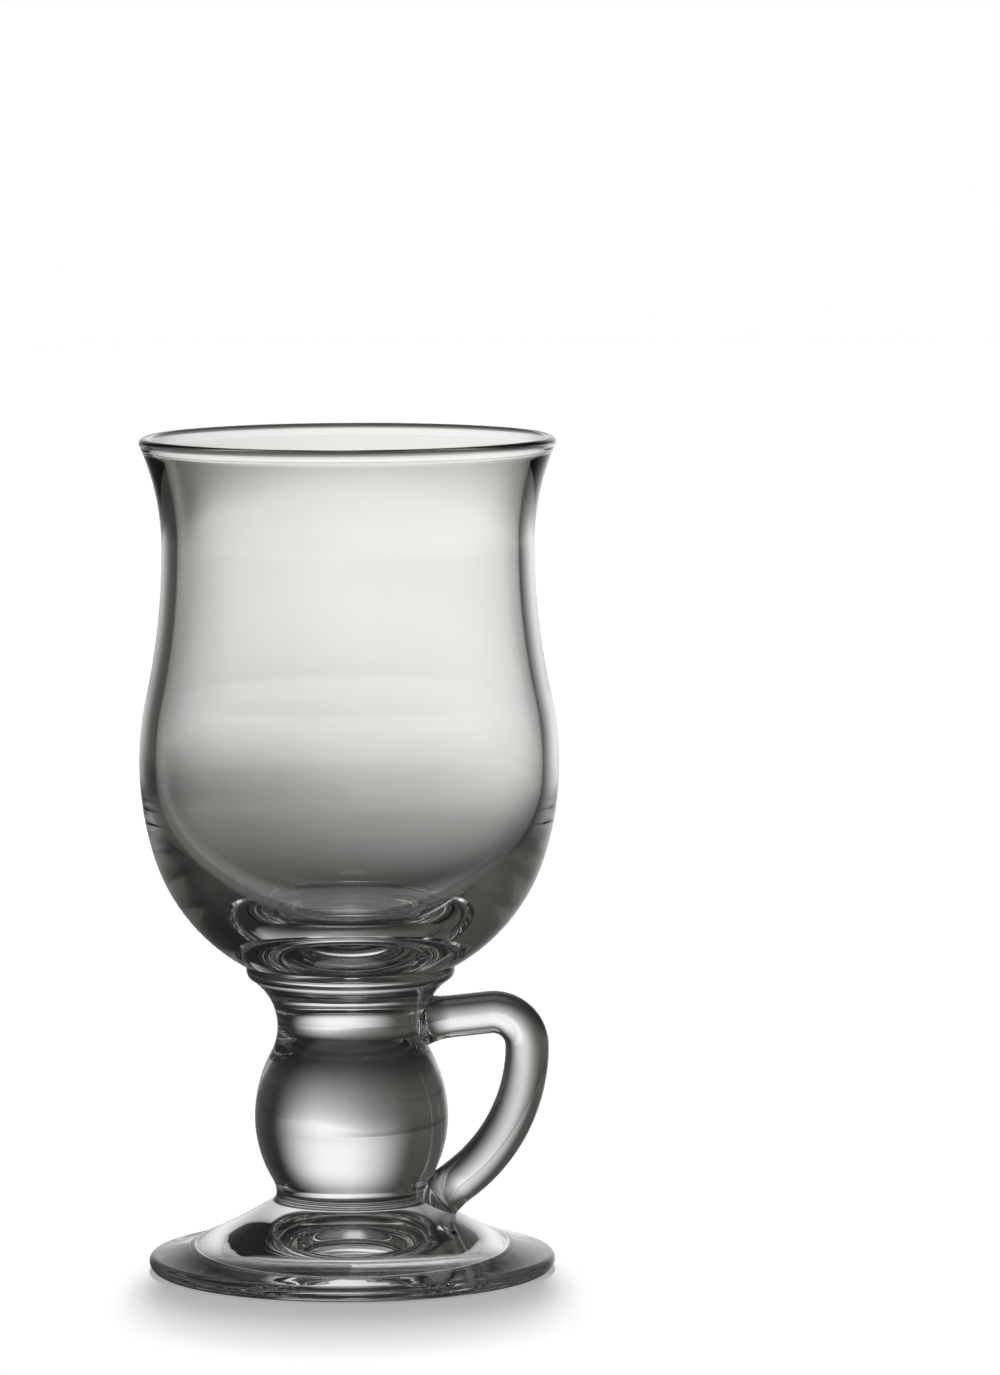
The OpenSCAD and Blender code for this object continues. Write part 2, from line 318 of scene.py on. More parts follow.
def bowl_profile(mug):
    b = mug.bowl
    axis_point = Vector((0, COLLAR_TOP))
    crease = Vector((b.base_r, COLLAR_TOP))
    belly = Vector((b.belly_r, COLLAR_TOP + b.belly_h))
    neck = Vector((b.neck_r, COLLAR_TOP + b.neck_h))
    lip = Vector((b.lip_r - b.lip_wall / 2, LIP_TOP - b.lip_wall / 2))
    inner_belly = belly - Vector((b.belly_wall, 0))
    inner_neck = neck - Vector((b.neck_wall, 0))
    # Outside: the belly's arc turns into the base curve at the shoulder, which ends in the crease
    belly_middle = belly - Vector((b.belly_curve_r, 0))
    shoulder = belly_middle + b.belly_curve_r * direction(-b.shoulder_angle)
    drop = shoulder - crease
    crease_angle = 2 * math.atan2(drop.x, drop.y) - b.shoulder_angle
    base_curve_r = drop.x / (math.cos(b.shoulder_angle) - math.cos(crease_angle))
    base_middle = shoulder - base_curve_r * direction(-b.shoulder_angle)
    rise = lip - (neck + inner_neck) / 2
    lean = 2 * math.atan2(rise.x, rise.y)
    half_lip = b.lip_wall / 2
    bead = lip_bead(b, lip, lean)
    outside = (arc(base_middle, base_curve_r, -crease_angle, -b.shoulder_angle, 2 * CURVE_STEPS)
               + arc(belly_middle, b.belly_curve_r, -b.shoulder_angle, 0,
                     even_steps(b.shoulder_angle, neck - belly))
               + s_curve(belly, neck, b.belly_curve_r)
               + upright_arc(neck, lip + half_lip * direction(-lean))
               + arc(lip, half_lip, -lean, math.pi - lean))
    # Inside: the corner's middle is where the wall's and the floor's arcs cross, drawn in by its radius
    wall_curve_r = b.belly_curve_r - b.belly_wall
    wall_r_in = wall_curve_r - b.corner_curve_r
    floor_r_in = b.floor_curve_r - b.corner_curve_r
    floor_middle = Vector((0, COLLAR_TOP + b.base_wall + b.floor_curve_r))
    to_floor = floor_middle - belly_middle
    along = (wall_r_in ** 2 - floor_r_in ** 2 + to_floor.dot(to_floor)) / (2 * to_floor.length)
    across = math.sqrt(wall_r_in ** 2 - along ** 2)
    unit = to_floor.normalized()
    corner_middle = belly_middle + along * unit + across * Vector((unit.y, -unit.x))
    wall_end = bearing(corner_middle - belly_middle)
    floor_end = bearing(corner_middle - floor_middle)
    inside = (bead
              + upright_arc(inner_neck, bead[-1])[::-1]
              + s_curve(inner_belly, inner_neck, wall_curve_r)[::-1]
              + arc(belly_middle, wall_curve_r, 0, wall_end, even_steps(wall_end, inner_neck - inner_belly))
              + arc(corner_middle, b.corner_curve_r, wall_end, floor_end, 2 * CURVE_STEPS)
              + arc(floor_middle, b.floor_curve_r, floor_end, -math.pi / 2))
    inside[-1] = Vector((0, COLLAR_TOP + b.base_wall))
    seam = [axis_point, Vector((mug.collar.collar_r, COLLAR_TOP))]
    return stitched((seam, True), (outside + inside, False))


def waist_side(mug):
    """Points of the waist's upper curve that stem and collar share, and its point on their seam."""
    waist = Vector((mug.stem.waist_r, FOOT_TOP + mug.stem.waist_h))
    edge = Vector((mug.collar.collar_r, COLLAR_TOP - mug.collar.band_h))
    rise = edge - waist
    upper_r = upright_radius(rise) - mug.collar.round_r
    turn = math.asin((STEM_TOP - waist.y) / upper_r)
    return s_curve(edge, waist, mug.collar.round_r)[::-1], upright_point(waist, rise, upper_r, turn)


def collar_side(mug):
    side, seam = waist_side(mug)
    return [seam] + [p for p in side if p.y > STEM_TOP] + [Vector((mug.collar.collar_r, COLLAR_TOP))]


def stem_side(mug):
    s = mug.stem
    groove = Vector((s.groove_r, FOOT_TOP))
    knop = Vector((s.knop_r, FOOT_TOP + s.knop_h))
    waist = Vector((s.waist_r, FOOT_TOP + s.waist_h))
    side, seam = waist_side(mug)
    return (s_curve(groove, knop, s.groove_curve_r)
            + s_curve(waist, knop, s.waist_curve_r)[::-1]
            + [p for p in side if p.y < STEM_TOP]
            + [seam])


def foot_side(mug):
    """Top of the foot, from the groove outwards and round its edge to the resting ring."""
    f = mug.foot
    fillet_middle = Vector((mug.stem.groove_r + f.fillet_r, FOOT_TOP))
    edge_middle = Vector((f.foot_r - f.edge_round_r, f.edge_h))
    run = edge_middle - fillet_middle
    slope = -bearing(run) - math.asin((f.fillet_r + f.edge_round_r) / run.length)
    crown, edge = slope + f.crown_bend, slope - f.edge_bend
    fillet = arc(fillet_middle, f.fillet_r, math.pi, 1.5 * math.pi - crown)
    rounding = arc(edge_middle, f.edge_round_r, math.pi / 2 - edge, 0)
    under = arc(Vector((f.foot_r - f.edge_h, f.edge_h)), f.edge_h, 0, -math.pi / 2)
    return fillet + falling_curve(fillet[-1], rounding[0], crown, edge, 2 * CURVE_STEPS) + rounding + under


def collar_profile(mug):
    side = collar_side(mug)
    return stitched(([Vector((0, STEM_TOP)), side[0]], True), (side, False),
                    ([side[-1], Vector((0, COLLAR_TOP))], True))


def stem_profile(mug):
    side = stem_side(mug)
    return stitched(([Vector((0, FOOT_TOP)), side[0]], True), (side, False),
                    ([side[-1], Vector((0, STEM_TOP))], True))


def foot_profile(mug):
    f = mug.foot
    side = foot_side(mug)
    hollow_r = f.foot_r - f.edge_h - f.ring_w
    dome_r = cap_radius(f.hollow_depth, hollow_r)
    dome_middle = Vector((0, f.hollow_depth - dome_r))
    dome = arc(dome_middle, dome_r, math.pi / 2, math.acos(hollow_r / dome_r), 2 * CURVE_STEPS)
    dome[0], dome[-1] = Vector((0, f.hollow_depth)), Vector((hollow_r, 0))
    # Traced outwards below and inwards above, so that it runs the same way round as the other profiles
    return stitched((dome + side[::-1], False), ([side[0], Vector((0, FOOT_TOP))], True))


def core_profile(mug):
    """Foot, stem and collar as one solid without the hollow, which the handle's roots are cut back by."""
    side = foot_side(mug)[::-1] + stem_side(mug) + collar_side(mug)
    return stitched(([Vector((0, 0))] + side + [Vector((0, COLLAR_TOP))], True))


# Nodes

BLACK = (0, 0, 0, 1)
WHITE = (1, 1, 1, 1)
# Edges that bend more than this are sharp
SHARP_ANGLE = math.radians(30)


class Wire:
    """An output socket that takes part in arithmetic: each operator adds one Math node to its board."""

    def __init__(self, board, socket):
        self.board = board
        self.socket = socket

    def other(self, name):
        """Another output of the same node."""
        return Wire(self.board, self.socket.node.outputs[name])

    def __add__(self, value):
        return self.board.math("ADD", self, value)

    def __sub__(self, value):
        return self.board.math("SUBTRACT", self, value)

    def __rsub__(self, value):
        return self.board.math("SUBTRACT", value, self)

    def __mul__(self, value):
        return self.board.math("MULTIPLY", self, value)

    def __truediv__(self, value):
        return self.board.math("DIVIDE", self, value)

    def __rtruediv__(self, value):
        return self.board.math("DIVIDE", value, self)

    def __lt__(self, value):
        return self.board.math("LESS_THAN", self, value)

    def __gt__(self, value):
        return self.board.math("GREATER_THAN", self, value)

    def __abs__(self):
        return self.board.math("ABSOLUTE", self)

    __radd__ = __add__
    __rmul__ = __mul__


class NodeBoard:
    """A node tree being wired."""

    def __init__(self, tree):
        self.tree = tree
        tree.nodes.clear()

    def add(self, kind, settings=None, sockets=None, output=0):
        """Adds a node of a kind, sets its settings first and then its sockets, and gives back an output."""
        node = self.tree.nodes.new(kind)
        for name, value in (settings or {}).items():
            setattr(node, name, value)
        for key, value in (sockets or {}).items():
            socket = self.socket(node.inputs, key)
            if isinstance(value, Wire):
                self.tree.links.new(value.socket, socket)
            else:
                socket.default_value = value
        return Wire(self, self.socket(node.outputs, output)) if len(node.outputs) else None

    @staticmethod
    def socket(sockets, key):
        """A socket by its identifier, or else by its name or number."""
        return next((socket for socket in sockets if socket.identifier == key), None) or sockets[key]

    def math(self, operation, *values):
        return self.add("ShaderNodeMath", {"operation": operation}, dict(enumerate(values)))

    def place(self):
        """Object coordinates as three wires."""
        point = self.add("ShaderNodeSeparateXYZ", None, {0: self.add("ShaderNodeTexCoord", output="Object")})
        return point, point.other("Y"), point.other("Z")

    def fade(self, value, full, gone):
        """1 up to the full value, easing to 0 where it is gone."""
        return self.add("ShaderNodeMapRange", {"interpolation_type": "SMOOTHSTEP"},
                        {"Value": value, "From Min": full, "From Max": gone, "To Min": 1.0, "To Max": 0.0})

    def blend(self, share, low, high):
        """A number between two, by a share from 0 to 1."""
        return low + share * (high - low)

    def highest(self, first, *others):
        """The largest of several values."""
        for other in others:
            first = self.math("MAXIMUM", first, other)
        return first

    def glow(self, tone, tint):
        """Light of one colour whose brightness changes over the surface."""
        colour = self.add("ShaderNodeMix", {"data_type": "RGBA", "clamp_factor": False},
                          {"Factor_Float": tone, "A_Color": BLACK, "B_Color": (*tint, 1)}, "Result_Color")
        return self.add("ShaderNodeEmission", None, {"Color": colour})

    def surface(self, shader):
        self.add("ShaderNodeOutputMaterial", None, {"Surface": shader})


def new_board(name, inputs):
    """A Geometry Nodes tree with named inputs of given socket types and one output."""
    tree = bpy.data.node_groups.new(name, "GeometryNodeTree")
    for label, kind in inputs:
        tree.interface.new_socket(label, in_out="INPUT", socket_type=kind)
    tree.interface.new_socket("Geometry", in_out="OUTPUT", socket_type="NodeSocketGeometry")
    return NodeBoard(tree)


def turned_tree():
    """Tree that turns a profile about +Z: a grid whose rows are its points, wrapped round and welded."""
    board = new_board("turned_glass", (("Profile", "NodeSocketGeometry"), ("Segments", "NodeSocketInt"),
                                       ("Sharp angle", "NodeSocketFloat"), ("Glass", "NodeSocketMaterial"),
                                       ("Joint", "NodeSocketMaterial")))
    given = board.add("NodeGroupInput", output="Profile")
    rows = board.add("GeometryNodeAttributeDomainSize", {"component": "MESH"}, {"Geometry": given},
                     "Point Count")
    segments = given.other("Segments")
    grid = board.add("GeometryNodeMeshGrid", None, {"Size X": 1.0, "Size Y": 1.0, "Vertices X": rows,
                                                    "Vertices Y": segments + 1})
    place = board.add("ShaderNodeSeparateXYZ", None, {0: board.add("GeometryNodeInputPosition")})
    row = (place + 0.5) * (rows - 1)
    turn = (place.other("Y") + 0.5) * (2 * math.pi)
    joint = board.add("GeometryNodeInputNamedAttribute", {"data_type": "BOOLEAN"}, {"Name": "joint"})
    on_joint = board.add("GeometryNodeSampleIndex", {"data_type": "BOOLEAN", "domain": "POINT"},
                         {"Geometry": given, "Value": joint, "Index": board.math("FLOOR", row)})
    kept = board.add("GeometryNodeStoreNamedAttribute", {"data_type": "BOOLEAN", "domain": "FACE"},
                     {"Geometry": grid, "Name": "fused", "Value": on_joint})
    point = board.add("GeometryNodeSampleIndex", {"data_type": "FLOAT_VECTOR", "domain": "POINT"},
                      {"Geometry": given, "Value": board.add("GeometryNodeInputPosition"),
                       "Index": board.math("ROUND", row)})
    point = board.add("ShaderNodeSeparateXYZ", None, {0: point})
    wrapped = board.add("ShaderNodeCombineXYZ", None, {"X": point * board.math("COSINE", turn),
                                                       "Y": point * board.math("SINE", turn),
                                                       "Z": point.other("Z")})
    solid = board.add("GeometryNodeSetPosition", None, {"Geometry": kept, "Position": wrapped})
    solid = board.add("GeometryNodeMergeByDistance", None, {"Geometry": solid, "Distance": SAME_POINT})
    solid = board.add("GeometryNodeFlipFaces", None, {"Mesh": solid})
    solid = board.add("GeometryNodeSetShadeSmooth", {"domain": "FACE"},
                      {"Geometry": solid, "Shade Smooth": True})
    bend = board.add("GeometryNodeInputMeshEdgeAngle")
    solid = board.add("GeometryNodeSetShadeSmooth", {"domain": "EDGE"},
                      {"Geometry": solid, "Shade Smooth": bend < given.other("Sharp angle")})
    solid = board.add("GeometryNodeRealizeInstances", None, {"Geometry": solid})
    solid = board.add("GeometryNodeSetMaterial", None, {"Geometry": solid, "Material": given.other("Glass")})
    fused = board.add("GeometryNodeInputNamedAttribute", {"data_type": "BOOLEAN"}, {"Name": "fused"})
    solid = board.add("GeometryNodeSetMaterial", None, {"Geometry": solid, "Selection": fused,
                                                        "Material": given.other("Joint")})
    board.add("NodeGroupOutput", None, {"Geometry": solid})
    return board.tree


def drawn_tree():
    """Tree that draws a round bar of changing radius along a middle line."""
    board = new_board("drawn_bar", (("Middle line", "NodeSocketGeometry"), ("Sides", "NodeSocketInt"),
                                    ("Glass", "NodeSocketMaterial")))
    given = board.add("NodeGroupInput", output="Middle line")
    path = board.add("GeometryNodeMeshToCurve", None, {"Mesh": given})
    radius = board.add("GeometryNodeInputNamedAttribute", {"data_type": "FLOAT"}, {"Name": "bar_radius"})
    ring = board.add("GeometryNodeCurvePrimitiveCircle", None, {"Resolution": given.other("Sides"),
                                                                "Radius": 1.0})
    bar = board.add("GeometryNodeCurveToMesh", None, {"Curve": path, "Profile Curve": ring, "Scale": radius,
                                                      "Fill Caps": True})
    bar = board.add("GeometryNodeRealizeInstances", None, {"Geometry": bar})
    bar = board.add("GeometryNodeSetMaterial", None, {"Geometry": bar, "Material": given.other("Glass")})
    board.add("NodeGroupOutput", None, {"Geometry": bar})
    return board.tree


def kept_tree(name, make):
    return bpy.data.node_groups.get(name) or make()


def polyline(name, points, attributes, glass):
    """Object of one chain of edges, with attributes (kind, values) on its points."""
    mesh = bpy.data.meshes.new(name)
    mesh.materials.append(glass)
    mesh.from_pydata(points, [(i, i + 1) for i in range(len(points) - 1)], [])
    for label, (kind, values) in attributes.items():
        layer = mesh.attributes.new(label, kind, "POINT")
        layer.data.foreach_set("value", values)
    piece = bpy.data.objects.new(name, mesh)
    bpy.context.scene.collection.objects.link(piece)
    return piece


def grow(piece, tree, inputs):
    """Puts a Geometry Nodes modifier on a piece, with its inputs set by their sockets' identifiers."""
    modifier = piece.modifiers.new(tree.name, "NODES")
    modifier.node_group = tree
    for socket in tree.interface.items_tree:
        if socket.in_out == "INPUT" and socket.name in inputs:
            modifier[socket.identifier] = inputs[socket.name]


def settle(piece):
    """Turns a piece's modifiers into its plain mesh."""
    evaluated = piece.evaluated_get(bpy.context.evaluated_depsgraph_get())
    mesh = bpy.data.meshes.new_from_object(evaluated)
    if not mesh.polygons:
        raise RuntimeError(f"{piece.name} came out empty")
    while mesh.materials[0] is None:
        mesh.materials.pop(index=0)
    start = piece.data
    piece.modifiers.clear()
    piece.data = mesh
    bpy.data.meshes.remove(start)
    mesh.name = piece.name


def turned(name, profile, segments, glass, joint):
    points, joints = profile
    marks = [bool(mark) for mark in joints] + [False]
    piece = polyline(name, [(p.x, 0, p.y) for p in points], {"joint": ("BOOLEAN", marks)}, glass)
    grow(piece, kept_tree("turned_glass", turned_tree),
         {"Segments": segments, "Sharp angle": SHARP_ANGLE, "Glass": glass, "Joint": joint})
    settle(piece)
    return piece


def claim(piece, node):
    """Says that a piece stands for a node of the frame."""
    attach(piece, BODY)
    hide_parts(node)


# Materials

def new_material(name):
    material = bpy.data.materials.new(name)
    material.use_nodes = True
    return material, NodeBoard(material.node_tree)


def joint_material():
    """Fused joint faces: the glass runs on through them, so light does too."""
    if "fused_joint" in bpy.data.materials:
        return bpy.data.materials["fused_joint"]
    material, board = new_material("fused_joint")
    board.surface(board.add("ShaderNodeBsdfPrincipled", None, {"Alpha": 0.0}))
    return material


# Cords and waves in the glass: how many in a metre, how fine, and the noise where cord or dull patch fades
CORDS_PER_M = 110.0
WAVES_PER_M = 45.0
CORD_DETAIL = 2.0
WAVE_DETAIL = 1.0
CORD_EDGE = (0.55, 0.75)
DULL_EDGE = (0.5, 0.35)


def glass_material(name, mug, stretch=(1, 1, 1), swirl=0.4, wave_share=1.0, ticks=False, roots=False):
    """Clear pressed glass: cords in the melt, slow mould waves and a fire polish that varies a little.

    The pattern is stretched along each axis and swirled, and a piece has a share of the full wave height.
    """
    if name in bpy.data.materials:
        return bpy.data.materials[name]
    finish = mug.glass
    material, board = new_material(name)
    place = board.add("ShaderNodeTexCoord", output="Object")
    along = board.add("ShaderNodeMapping", None, {"Vector": place, "Scale": stretch})
    cords = board.add("ShaderNodeTexNoise", None, {"Vector": along, "Scale": CORDS_PER_M,
                                                   "Detail": CORD_DETAIL, "Distortion": swirl})
    waves = board.add("ShaderNodeTexNoise", None, {"Vector": along, "Scale": WAVES_PER_M,
                                                   "Detail": WAVE_DETAIL, "Distortion": swirl})
    tint = board.add("ShaderNodeMix", {"data_type": "RGBA"},
                     {"Factor_Float": 1 - board.fade(cords, *CORD_EDGE), "A_Color": (*finish.tint, 1),
                      "B_Color": (*finish.cord_tint, 1)}, "Result_Color")
    height = waves * (finish.wave_height * wave_share)
    if ticks:
        height = height + ring_ticks(board, mug)
    relief = board.add("ShaderNodeBump", None, {"Strength": 1.0, "Distance": 1.0, "Height": height})
    roughness = board.fade(waves, *DULL_EDGE) * finish.polish
    sockets = {"Base Color": tint, "Roughness": roughness, "IOR": finish.ior, "Transmission Weight": 1.0,
               "Normal": relief}
    if roots:
        sockets["Alpha"] = 1 - root_mask(board, mug)
    board.surface(board.add("ShaderNodeBsdfPrincipled", None, sockets))
    return material


def stem_glass(mug):
    """Glass of stem and collar, which both carry the handle's upper root."""
    return glass_material("stem_glass", mug, wave_share=0.15, roots=True)


def ring_ticks(board, mug):
    """Fine radial ticks at the inner edge of the ring that the foot stands on."""
    f, finish = mug.foot, mug.glass
    x, y, z = board.place()
    tick = board.math("SINE", board.math("ARCTAN2", y, x) * finish.tick_count)
    away = board.math("SQRT", x * x + y * y)
    middle = f.foot_r - f.edge_h - f.ring_w + finish.tick_w / 2
    band = board.fade(abs(away - middle), finish.tick_w / 4, finish.tick_w / 2)
    low = board.fade(z, f.edge_h / 8, f.edge_h / 4)
    return tick * band * low * finish.tick_height


def root_mask(board, mug):
    """1 inside the handle's roots, where stem and foot have no surface of their own."""
    h = mug.handle
    x, y, z = board.place()
    points, _ = handle_line(mug)
    mask = 0.0
    for end, inner in ((0, 1), (-1, -2)):
        root = points[end]
        out = (points[inner] - root).normalized()
        reach = (x - root.x) * out.x + (z - root.y) * out.y
        lift = (z - root.y) * out.x - (x - root.x) * out.y
        away = board.math("SQRT", lift * lift + y * y)
        slim = h.upper_r if end == 0 else h.lower_r
        flare = h.upper_flare if end == 0 else h.lower_flare
        curve_r = cap_radius(flare, h.flare_l)
        left = board.math("MAXIMUM", h.flare_l - reach, 0.0)
        bar = slim + curve_r - board.math("SQRT", curve_r ** 2 - left * left)
        inside = (away < bar) * (reach > 0.0) * (reach < h.flare_l)
        mask = board.math("MAXIMUM", mask, inside)
    return mask


# Handle

def flare_growth(reach, flare, flare_l):
    """Growth of the bar's radius at a distance into its flare, along an arc that starts straight."""
    if reach <= 0:
        return 0.0
    radius = cap_radius(flare, flare_l)
    return radius - math.sqrt(radius ** 2 - reach ** 2)


def handle_line(mug):
    """Points of the handle's middle line, from the upper root to the lower one, and the bar's radii."""
    h = mug.handle
    turn_z = FOOT_TOP + h.turn_h
    bend_middle = Vector((h.reach - h.bend_r, turn_z))
    grip_middle = Vector((h.reach - h.grip_r, turn_z))
    grip_angle = math.asin((h.turn_h - h.grip_end_h) / h.grip_r)
    bend = arc(bend_middle, h.bend_r, math.pi / 2 + h.rise_angle, 0, 2 * CURVE_STEPS)
    grip = arc(grip_middle, h.grip_r, 0, -grip_angle, 2 * CURVE_STEPS)
    upper_l = (bend[0].x - mug.stem.waist_r + h.upper_sink) / math.cos(h.rise_angle)
    lower_l = (grip[-1].x - mug.stem.groove_r + h.lower_sink) / math.sin(grip_angle)
    shares = [i / (2 * CURVE_STEPS) for i in range(2 * CURVE_STEPS + 1)]
    upper = [bend[0] - (1 - t) * upper_l * direction(h.rise_angle) for t in shares]
    lower = [grip[-1] + t * lower_l * direction(-grip_angle - math.pi / 2) for t in shares]
    stretches = (
        (upper, [h.upper_r
                 + flare_growth(h.flare_l - t * upper_l, h.upper_flare, h.flare_l) for t in shares]),
        (bend, [h.upper_r + t * (h.bend_bar_r - h.upper_r) for t in shares]),
        (grip, [h.bend_bar_r + t * (h.grip_bar_r - h.bend_bar_r) for t in shares]),
        (lower, [h.grip_bar_r + t * (h.lower_r - h.grip_bar_r)
                 + flare_growth(h.flare_l - (1 - t) * lower_l, h.lower_flare, h.flare_l) for t in shares]),
    )
    points, radii = [], []
    for line, widths in stretches:
        for point, width in zip(line, widths):
            if points and (point - points[-1]).length < SAME_POINT:
                continue
            points.append(point)
            radii.append(width)
    return points, radii


def drawn_handle(mug, name, glass, joint):
    points, radii = handle_line(mug)
    piece = polyline(name, [(p.x, 0, p.y) for p in points], {"bar_radius": ("FLOAT", radii)}, glass)
    grow(piece, kept_tree("drawn_bar", drawn_tree), {"Sides": mug.handle.sides, "Glass": glass})
    core = turned("core", core_profile(mug), mug.stem.segments, glass, joint)
    cut = piece.modifiers.new("seat", "BOOLEAN")
    cut.operation = "DIFFERENCE"
    cut.solver = "MANIFOLD"
    cut.material_mode = "TRANSFER"
    cut.object = core
    settle(piece)
    bpy.data.objects.remove(core)
    piece.data.polygons.foreach_set("use_smooth", [True] * len(piece.data.polygons))
    piece.data.set_sharp_from_angle(angle=SHARP_ANGLE)
    return piece


# Operators

class GLASSMUG_OT_bowl(bpy.types.Operator):
    """Turn the tulip bowl"""
    bl_idname = "glass_mug.bowl"
    bl_label = "Bowl"

    def execute(self, context):
        mug = context.scene.glass_mug
        glass = glass_material("bowl_glass", mug, stretch=(1, 1, 0.5), wave_share=0.25)
        claim(turned("tulip_bowl", bowl_profile(mug), mug.bowl.segments, glass, joint_material()), "bowl")
        return {"FINISHED"}


class GLASSMUG_OT_collar(bpy.types.Operator):
    """Turn the collar between bowl and stem"""
    bl_idname = "glass_mug.collar"
    bl_label = "Collar"

    def execute(self, context):
        mug = context.scene.glass_mug
        piece = turned("merese_collar", collar_profile(mug), mug.stem.segments, stem_glass(mug),
                       joint_material())
        claim(piece, "collar")
        return {"FINISHED"}


class GLASSMUG_OT_stem(bpy.types.Operator):
    """Turn the stem with its ball knop"""
    bl_idname = "glass_mug.stem"
    bl_label = "Stem"

    def execute(self, context):
        mug = context.scene.glass_mug
        piece = turned("knop_stem", stem_profile(mug), mug.stem.segments, stem_glass(mug), joint_material())
        claim(piece, "stem")
        return {"FINISHED"}


class GLASSMUG_OT_foot(bpy.types.Operator):
    """Turn the hollow conical foot"""
    bl_idname = "glass_mug.foot"
    bl_label = "Foot"

    def execute(self, context):
        mug = context.scene.glass_mug
        glass = glass_material("foot_glass", mug, swirl=2.5, wave_share=0.5, ticks=True, roots=True)
        claim(turned("hollow_foot", foot_profile(mug), mug.stem.segments, glass, joint_material()), "foot")
        return {"FINISHED"}


class GLASSMUG_OT_handle(bpy.types.Operator):
    """Draw the bent rod handle and seat its roots on stem and foot"""
    bl_idname = "glass_mug.handle"
    bl_label = "Handle"

    def execute(self, context):
        mug = context.scene.glass_mug
        glass = glass_material("handle_glass", mug, stretch=(0.6, 1.5, 0.6), wave_share=0.5)
        claim(drawn_handle(mug, "rod_handle", glass, joint_material()), "handle")
        return {"FINISHED"}


# Studio

# Reach of the studio from the mug
STUDIO_R = 3.0
# The floor lies just under the resting ring
FLOOR_Z = -0.0002
# Faces round the floor and round the dome of flags
FLOOR_SIDES = 64
DOME_SIDES = 96
# Surfaces that light may pass on its way through the glass
GLASS_BOUNCES = 24
# Lights in the row that makes up the narrow key light
KEY_COUNT = 5
# Camera of the photograph: lens and film in mm, place in metres, fall and roll in degrees
LENS = 204.96
FILM_W = 36
CAMERA_PLACE = (0.02699, -1.3919, 0.2441)
CAMERA_FALL = 5.712
CAMERA_ROLL = -0.241


def spread(full, gone):
    """Two angles in degrees between which a tone fades."""
    return math.radians(full), math.radians(gone)


# Where the studio's tones fade, each from full to gone. First the turns round the mug, from +Y towards +X
LEFT_FLAG = spread(-20, 20)
SIDE_FLAGS = spread(110, 160)
STRIP_WIDE = spread(5, 30)
SPOT_WIDE = spread(4, 14)
FRONT_CLOSED = spread(125, 180)
TABLE_BEHIND = spread(65, 95)
TABLE_LEFT = spread(-12, 16)
# Painted shadow band on the table: full left of the first turn, gone at the second
BAND_LEFT = spread(-12, 10)
# Angles over the table
LOW_FLAGS = spread(15, 60)
STRIP_HIGH = spread(2, 12)
SPOT_HIGH = spread(2, 8)
FRONT_HIGH = spread(5, 40)
# Distances from the mug's axis on the table
# SHADE: the painted shadow round the mug is full up to the first distance and gone at the second
SHADE = (0.04, 0.14)
SIDE_LIGHT = (SHADE[1], 0.9)
TABLE_DARK = (0.25, 1.3)
RING_DARK = (0.2, 0.4)
# Where the painted shadow band on the table sets in and where it fades out
BAND_FREE = (0.2, 0.55)
BAND_DARK = (0.72, 1.12)
# Part of the side gain that is added to the gloss right of the mug as painted light; the rest is taken off on
# its left as painted shade
RIGHT_GAIN = 0.55


def studio_turns(board):
    """Turn from +Y towards +X, height over the table as an angle, and distance from the mug."""
    x, y, z = board.place()
    away = board.math("SQRT", x * x + y * y)
    return board.math("ARCTAN2", x, y), board.math("ARCTAN2", z, away), away


def flag_tone(board, light, turn):
    """Brightness of the dark flags round the mug."""
    side = board.blend(board.fade(turn, *LEFT_FLAG), light.right_tone, light.left_tone)
    return board.blend(board.fade(abs(turn), *SIDE_FLAGS), light.front_tone, side)


def flags_material(light):
    """Dark flags with soft openings in them, through which the white background shows."""
    material, board = new_material("dark_flags")
    turn, rise, _ = studio_turns(board)
    aside = abs(turn - light.window_turn)
    window = (board.fade(aside, light.window_half, light.window_fade_side)
              * board.fade(abs(rise - light.window_rise), light.window_half, light.window_fade_up))
    strip = board.fade(aside, *STRIP_WIDE) * board.fade(abs(rise - light.strip_rise), *STRIP_HIGH)
    spot = (board.fade(abs(turn - light.spot_turn), *SPOT_WIDE)
            * board.fade(abs(rise - light.spot_rise), *SPOT_HIGH))
    front = (1 - board.fade(abs(turn), *FRONT_CLOSED)) * board.fade(abs(rise), *FRONT_HIGH)
    open_share = board.highest(window, strip * light.strip_tone, spot * light.spot_tone,
                               front * light.front_share)
    side = flag_tone(board, light, turn)
    dark = board.glow(board.blend(board.fade(rise, *LOW_FLAGS), light.top_tone, side), light.shade_tint)
    board.surface(board.add("ShaderNodeMixShader", None, {
        "Fac": open_share, 1: dark, 2: board.add("ShaderNodeBsdfTransparent")}))
    return material


